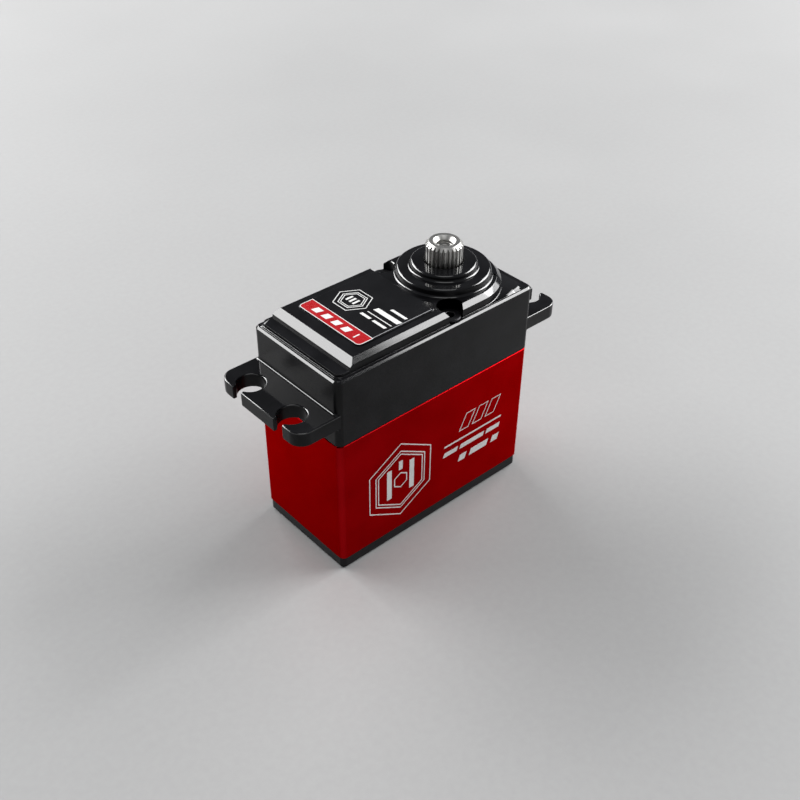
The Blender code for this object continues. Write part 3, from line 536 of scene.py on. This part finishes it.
def make_bottom_shell():
    top = COVER_TOP
    profile = softened([(0.9, 0.0), (0.52, 0.0), (0.22, 0.3), (0.22, top - 0.12),
                        (0.34, top), (0.9, top)], 0.06)
    body = stack("bottom_shell", [(case_outline(inset), z) for inset, z in profile])
    steps = hollow("cover", 1.25, top + 1)
    for x, y in corners(13, 6):
        steps.append(("UNION", rod("board_post", 0.9, 1.0, 3.35, (x, y), 24)))
    for place in corners():
        recess = [(0, 1.35), (1.8, 1.35), (1.8, 0.15), (1.95, 0.0), (1.95, -1.0), (0, -1.0)]
        steps.append(("DIFFERENCE", rod("cover_hole", SCREW_HOLE, -1, top + 1, place, 24)))
        steps.append(("DIFFERENCE", lathe("head_recess", recess, place, 40)))
    piece(combine(body, steps), BLACK, "case", "black_anodised", "bottom_cover")


# --- screws -------------------------------------------------------------------------------------
def hexagon(across, turn=0.0):
    """Radius of a hexagon with that half width across its flats, by angle."""
    def radius(angle):
        return across / math.cos((angle + turn) % (math.pi / 3) - math.pi / 6)
    return radius


def cap_screw(name, node, place, head_top, seat, tip, head_radius):
    """A socket cap screw; its head is above the seat, or below it if head_top is lower."""
    sign = 1 if head_top > seat else -1
    across = hexagon(0.76)
    knurls = 24

    def knurled(depth, z):
        return lambda angle: (head_radius - depth * (0.5 - 0.5 * math.cos(knurls * angle)), z)

    def socket(z, share=1.0):
        return lambda angle: (across(angle) * share, z)

    edge = 0.2
    deep = head_top - sign * abs(head_top - seat) * 0.55
    levels = [(0, deep + sign * -0.12), socket(deep - sign * 0.12, 0.4), socket(deep),
              socket(head_top - sign * 0.06),
              socket(head_top, 1.08), (1.15, head_top), (head_radius - edge - 0.06, head_top),
              (head_radius - edge + 0.05, head_top - sign * 0.03), knurled(0.02, head_top - sign * edge),
              knurled(0.09, head_top - sign * (edge + 0.12)), knurled(0.09, seat + sign * 0.22),
              knurled(0.02, seat + sign * 0.1), (head_radius - 0.12, seat), (1.0, seat),
              (1.0, tip + sign * 0.4), (0.6, tip), (0, tip)]
    if sign < 0:
        levels.reverse()
    made = lathe(name, levels, place, 144)
    piece(made, OXIDE, "case", "black_screw", node)


def make_screws():
    for side, sign in (("left", 1), ("right", -1)):
        low, high = node_box("top_screw_" + side)
        cap_screw("top_cap_screw_" + side, "top_screw_" + side, (POCKET[0], sign * POCKET[1]),
                  high[2], POCKET_FLOOR + 0.05, low[2], 1.78)
    for index, place in enumerate(corners(), 1):
        low, high = node_box("case_screw_%d" % index)
        cap_screw("case_cap_screw_%d" % index, "case_screw_%d" % index, place, low[2], 1.3, high[2], 1.68)


# --- output shaft -------------------------------------------------------------------------------
def make_output_shaft():
    top = SHAFT_TOP
    teeth, tip, root, ring = 25, 3.0, 2.6, 2.45

    def tooth(angle):
        """Radius around the teeth: rounded crests, straight flanks and narrow round roots."""
        phase = abs((angle * teeth / (2 * math.pi) + 0.5) % 1.0 - 0.5) * 2
        rise = min(1.0, max(0.0, (0.86 - phase) / 0.5))
        return root + (tip - root) * rise * rise * (3 - 2 * rise)

    def teeth_at(z):
        return lambda angle: (tooth(angle), z)

    def lead_in(angle):
        """The 45 degree chamfer that the teeth start from."""
        return tooth(angle), top - (tooth(angle) - ring)

    def thread(z, depth):
        def level(angle):
            turn = ((z / 0.5) - angle / (2 * math.pi)) % 1.0
            return 1.25 + depth * abs(2 * turn - 1), z
        return level

    levels = [(0, top - 8.8), (1.25, top - 8.0), (1.25, top - 5.4)]
    count = 8 * 9
    for i in range(count + 1):
        z = top - 5.2 + 4.5 * i / count
        levels.append(thread(z, 0.25 * min(1.0, (count - i) / 6, i / 6)))
    levels += [(1.27, top - 0.55), (1.32, top - 0.49), (1.76, top - 0.04), (1.82, top)]
    levels += [(ring, top), lead_in]
    levels += [teeth_at(z) for z in (top - 0.8, BOSS_TOP + 0.4, BOSS_TOP - 0.5)]
    seat = 37.75
    levels += [(2.55, BOSS_TOP - 0.55), (2.95, BOSS_TOP - 0.7), (2.95, seat - 0.05), (3.9, seat - 0.05),
               (3.9, seat - 0.7), (2.95, seat - 0.7), (2.95, 31.9), (1.45, 31.9), (1.45, 22.9),
               (1.06, 22.9), (1.06, 25.5), (0, 25.5)]
    piece(lathe("splined_shaft", levels, (OUTPUT_X, 0), 300), STEEL, "output", "steel", "output_shaft")


# --- cable inlet --------------------------------------------------------------------------------
def turned_to_x(obj, x, z):
    """Stands a form built up along Z so that it points along +X, at a place on the end wall."""
    obj.data.transform(Matrix.Translation((x * MM, 0, z * MM))
                       @ Matrix(((0, 0, 1, 0), (1, 0, 0, 0), (0, 1, 0, 0), (0, 0, 0, 1))))
    return obj


def make_grommet():
    low, high = node_box("cable_grommet")
    z = (low[2] + high[2]) / 2
    half_y, half_z = 3.0, (high[2] - low[2]) / 2
    out = high[0]
    flange = [(0.0, CASE_X + 0.06), (0.0, out - 0.3), (0.1, out - 0.1), (0.28, out)]
    outer = stack("grommet", [(rounded(half_y - i, half_z - i, 0.9 - i), x) for i, x in flange])
    neck, back = rounded(2.5, half_z - 0.22, 0.5), rounded(half_y, half_z, 0.7)
    body = stack("grommet_neck", [(neck, x) for x in (CASE_X - 2.0, CASE_X + 0.4)])
    inner = stack("grommet_back", [(back, x) for x in (CASE_X - 2.1, CASE_X - 1.25)])
    steps = [("UNION", body), ("UNION", inner)]
    for y in (-1.3, 0.0, 1.3):
        hole = [(0, 6.0), (0.95, 6.0), (0.62, 0.0), (0.62, -6.0), (0, -6.0)]
        levels = [(r, (out - 0.2) + h if h == 0.0 else out + h) for r, h in hole]
        steps.append(("DIFFERENCE", lathe("wire_hole", levels, (y, 0), 32)))
    grommet = combine(outer, steps)
    piece(turned_to_x(grommet, 0, z), RUBBER, "case", "rubber", "cable_grommet")


# --- label and printing -------------------------------------------------------------------------
def ribbon(points, width, closed=False):
    """A line of even width through points, as flat quads with mitred corners."""
    path = [Vector(p) for p in points]
    count = len(path)
    sides = []
    for i, here in enumerate(path):
        before = path[i - 1] if closed or i > 0 else None
        after = path[(i + 1) % count] if closed or i < count - 1 else None
        ways = [(b - a).normalized() for a, b in ((before, here), (here, after)) if a and b]
        normals = [Vector((-way.y, way.x)) for way in ways]
        mitre = sum(normals, Vector((0, 0))).normalized()
        offset = mitre * (width / 2 / max(mitre.dot(normals[0]), 0.4))
        sides.append((tuple(here + offset), tuple(here - offset)))
    pairs = list(zip(sides, sides[1:] + sides[:1] if closed else sides[1:]))
    return [(a[0], a[1], b[1], b[0]) for a, b in pairs]


def slanted(u, v, length, height, lean=0.35):
    """A bar whose ends lean over."""
    shift = lean * height
    return [(u, v), (u + length, v), (u + length + shift, v + height), (u + shift, v + height)]


def printed(name, polygons, place, thickness, material, slot):
    """Flat shapes drawn in (u, v), given a thickness and set on a face."""
    work = bmesh.new()
    for polygon in polygons:
        work.faces.new([work.verts.new((u * MM, v * MM, 0)) for u, v in polygon])
    bmesh.ops.remove_doubles(work, verts=work.verts, dist=0.002 * MM)
    grown = bmesh.ops.extrude_face_region(work, geom=work.faces[:])
    top = [e for e in grown["geom"] if isinstance(e, bmesh.types.BMVert)]
    bmesh.ops.translate(work, verts=top, vec=(0, 0, thickness * MM))
    bmesh.ops.recalc_face_normals(work, faces=work.faces)
    bmesh.ops.transform(work, matrix=place, verts=work.verts)
    mesh = bpy.data.meshes.new(name)
    work.to_mesh(mesh)
    work.free()
    made = bpy.data.objects.new(name, mesh)
    bpy.context.scene.collection.objects.link(made)
    return piece(made, material, "case", slot)


def six_sided(u, v, radius, turn=30):
    angles = [math.radians(turn + 60 * k) for k in range(6)]
    return [(u + radius * math.cos(a), v + radius * math.sin(a)) for a in angles]


def side_graphic():
    """Line work for a side of the case: nested hexagons, sloping bars and rules."""
    line = 0.2
    shapes = []
    for radius in (7.5, 6.0, 5.4, 1.5):
        shapes += ribbon(six_sided(-8.0, 12.5, radius), line, closed=True)
    shapes += [slanted(-10.9, 9.6, 1.0, 6.0, 0.0), slanted(-8.4, 14.7, 0.8, 1.8, 0.0),
               slanted(-6.1, 9.6, 1.0, 6.0, 0.0)]
    for k in range(3):
        shapes += ribbon(slanted(5.0 + 3.0 * k, 15.6, 2.0, 3.0, 0.5), line * 0.8, closed=True)
    shapes.append(slanted(1.6, 13.6, 13.4, 0.35, 0.3))
    for u, length in ((1.4, 3.2), (5.2, 5.6), (11.4, 3.2)):
        shapes.append(slanted(u, 11.6, length, 0.9, 0.35))
    for u, length in ((5.0, 1.6), (7.6, 4.2), (12.8, 1.6)):
        shapes.append(slanted(u, 8.9, length, 1.3, 0.35))
    return shapes


def on_side(sign):
    """The upright plane of a long side of the case, seen from outside it."""
    face = (CASE_Y - 0.035) * MM
    columns = ((1, 0, 0), (0, 0, 1), (0, -1, 0)) if sign < 0 else ((-1, 0, 0), (0, 0, 1), (0, 1, 0))
    rows = [[columns[c][r] for c in range(3)] for r in range(3)]
    return Matrix([row + [shift] for row, shift in zip(rows, (0, sign * face, 0))] + [[0, 0, 0, 1]])


def make_label():
    low, high = LABEL_LOW, LABEL_HIGH
    centre = ((low[0] + high[0]) / 2, 0)
    half_x, half_y = (high[0] - low[0]) / 2, high[1]
    edge = [(0.0, low[2]), (0.0, high[2] - 0.13), (0.02, high[2] - 0.09), (0.07, high[2] - 0.06),
            (0.14, high[2] - 0.05)]
    film = stack("label_film", [(rounded(half_x - i, half_y - i, 0.9 - i), z) for i, z in edge], centre)
    piece(film, FILM, "case", "label_film", "top_label")

    z = high[2] - 0.05
    quarter_turn = Matrix(((0, 1, 0, 0), (-1, 0, 0, 0), (0, 0, 1, 0), (0, 0, 0, 1)))
    flat = Matrix.Translation((0, 0, z * MM)) @ quarter_turn
    left, right = low[0] + 0.2, low[0] + 2.9
    outline = [(right, -7.1), (right, 7.1)] + arc(left + 0.7, 6.4, 0.7, 90, 180, 6)
    outline += arc(left + 0.7, -6.4, 0.7, 180, 270, 6)
    strip = [(-y, x) for x, y in reversed(outline)]
    printed("label_strip", [strip], flat, 0.015, RED_PRINT, "label_film")
    frame_lines = ribbon(strip, 0.13, closed=True)
    frame_lines += [slanted(-5.0 + 2.3 * k, left + 0.75, 1.3, 1.2, 0.3) for k in range(4)]
    frame_lines += ribbon([(5.0, left + 0.75), (5.0, left + 1.95)], 0.25)
    graphic = []
    for radius in (3.1, 2.3, 1.9):
        graphic += ribbon(six_sided(-2.9, -6.6, radius, 0), 0.14, closed=True)
    graphic += [slanted(-3.9 + 0.8 * k, -7.3, 0.4, 1.4, 0.0) for k in range(3)]
    graphic += [slanted(u, v, length, height, 0.3) for u, v, length, height in (
        (1.2, -6.0, 5.4, 0.9), (1.0, -7.0, 5.4, 0.16), (0.6, -8.2, 2.2, 0.5),
        (3.4, -8.2, 2.8, 0.5), (3.0, -4.2, 3.4, 0.5))]
    rise = Matrix.Translation((0, 0, 0.015 * MM))
    printed("label_lines", frame_lines, rise @ flat, 0.01, WHITE_PRINT, "label_film")
    printed("label_graphic", graphic, flat, 0.012, WHITE_PRINT, "label_film")
    # painted reflection, not print: a grey line along the film's -Y edge standing for the lamp seen in its rounded
    # edge
    printed("label_painted_edge_reflection", ribbon([(7.0, -11.0), (7.0, 0.8)], 0.12), flat, 0.011, FILM_EDGE_REFLECTION_PAINT, "label_film")


# --- studio -------------------------------------------------------------------------------------
def softbox(name, towards, distance, size, radiance, target):
    """A square lamp in a direction from the target, given the brightness of its face."""
    lamp = bpy.data.lights.new(name, "AREA")
    lamp.shape = "RECTANGLE"
    lamp.size, lamp.size_y = size[0] * MM, size[1] * MM
    lamp.energy = radiance * math.pi * lamp.size * lamp.size_y
    made = bpy.data.objects.new(name, lamp)
    bpy.context.scene.collection.objects.link(made)
    way = Vector(towards).normalized()
    made.location = (Vector(target) + way * distance) * MM
    made.rotation_mode = "QUATERNION"
    made.rotation_quaternion = way.to_track_quat("Z", "Y")


LAMP_DISTANCE = 1000
# name, azimuth from +X, elevation, width and height in degrees, brightness of its face
TILES = (
    ("left_1", 82, 30, 24, 20, 8.5),
    ("left_2", 106, 30, 24, 20, 13.0),
    ("left_3", 130, 30, 24, 20, 7.5),
    ("right_1", -37, 32, 16, 22, 8.0),
    ("right_2", -18, 32, 24, 22, 12.0),
    ("right_3", 6, 32, 24, 22, 8.5),
    ("right_low", -14, 14, 24, 12, 4.5),
)


def make_studio():
    floor = stack("floor", [(rounded(4000, 4000, 100, 4), z) for z in (-40.0, 0.0)])
    floor.data.materials.append(plain_finish(
        "floor_finish", (0.32, 0.32, 0.32), (0.36, 0.36, 0.36), 0.0, (0.6, 0.7),
        grain=0.8, bump=0.01, patch=0.01))
    centre = (0, 0, 30)
    for name, azimuth, elevation, wide, high, radiance in TILES:
        turn, lift = math.radians(azimuth), math.radians(elevation)
        towards = (math.cos(turn) * math.cos(lift), math.sin(turn) * math.cos(lift), math.sin(lift))
        size = [2 * LAMP_DISTANCE * math.tan(math.radians(angle / 2)) for angle in (wide, high)]
        softbox("lamp_" + name, towards, LAMP_DISTANCE, size, radiance, centre)
    softbox("lamp_overhead", (-0.15, -0.25, 1.0), 900, (500, 500), 1.2, centre)
    world = bpy.data.worlds.new("studio")
    world.use_nodes = True
    shade = world.node_tree.nodes["Background"]
    shade.inputs["Color"].default_value = (0.9, 0.93, 1.0, 1)
    shade.inputs["Strength"].default_value = 0.1
    bpy.context.scene.world = world
    bpy.context.scene.view_settings.view_transform = "Standard"


CAMERA_PLACE = (-93.236, -104.331, 126.397)
CAMERA_ANGLES = (-42.014, 37.287, 0.611)     # azimuth, elevation and roll, in degrees
CAMERA_FOCUS = 1057.0                        # focal length over the width of one pixel
FRAME_SIDE = 800                             # pixels along each side of the picture


def make_camera():
    """The photograph's viewpoint: above the -X, -Y corner, with the case's corner towards it."""
    azimuth, elevation, roll = (math.radians(v) for v in CAMERA_ANGLES)
    back = Vector((math.sin(azimuth) * math.cos(elevation), -math.cos(azimuth) * math.cos(elevation),
                   math.sin(elevation)))
    right = Vector((0, 0, 1)).cross(back).normalized()
    up = back.cross(right)
    tilted = right * math.cos(roll) + up * math.sin(roll)
    tilted_up = up * math.cos(roll) - right * math.sin(roll)
    lens = bpy.data.cameras.new("camera")
    lens.sensor_width = 36.0
    lens.lens = lens.sensor_width * CAMERA_FOCUS / FRAME_SIDE
    lens.shift_y = -5.0 / FRAME_SIDE
    lens.clip_start, lens.clip_end = 0.01, 20.0
    camera = bpy.data.objects.new("camera", lens)
    bpy.context.scene.collection.objects.link(camera)
    place = Matrix((tilted, tilted_up, back)).transposed().to_4x4()
    place.translation = Vector(CAMERA_PLACE) * MM
    camera.matrix_world = place
    bpy.context.scene.camera = camera


make_studio()
make_camera()
for entry in frame["record"]["subparts"]:
    carried = frame["nodes"][entry["node"]]
    for place in carried.material_slots:
        place.material = SLOT_FINISH[entry["material_slot"]]
make_top_shell()
make_middle_shell()
make_bottom_shell()
make_screws()
make_output_shaft()
make_grommet()
make_label()
for name, sign in (("side_print_right", -1), ("side_print_left", 1)):
    printed(name, side_graphic(), on_side(sign), 0.02, WHITE_PRINT, "red_anodised")
